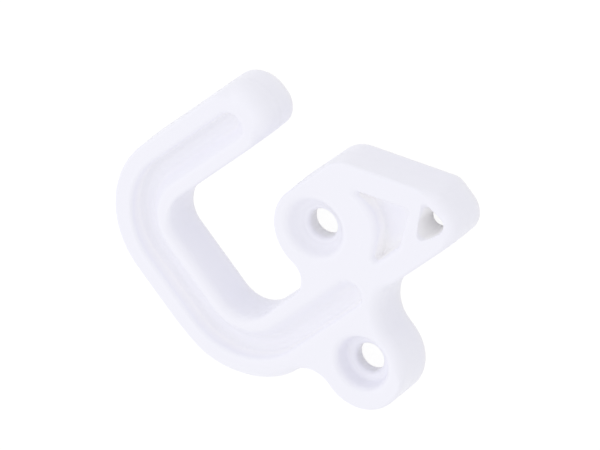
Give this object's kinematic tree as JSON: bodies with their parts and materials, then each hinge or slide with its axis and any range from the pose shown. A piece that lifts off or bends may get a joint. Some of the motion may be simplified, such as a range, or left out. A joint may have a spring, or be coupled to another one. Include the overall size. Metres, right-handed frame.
{
  "type": "appliance door stopper",
  "caption": "Flat moulded plastic door stopper: a cored hook around an open slot, with a screw hole in its head and in a side lug.",
  "frame": {"origin": "under the middle of the outline, on the plane of the back face that the piece lies on", "axes": "+X along the two arms of the hook towards the head, +Y across the arms towards the upper arm, +Z out of the front face"},
  "size_m": [0.0648, 0.0622, 0.0088],
  "materials": {
    "white_plastic": "satin"
  },
  "bodies": {
    "root": {"door_stopper": "white_plastic"}
  },
  "joints": []
}
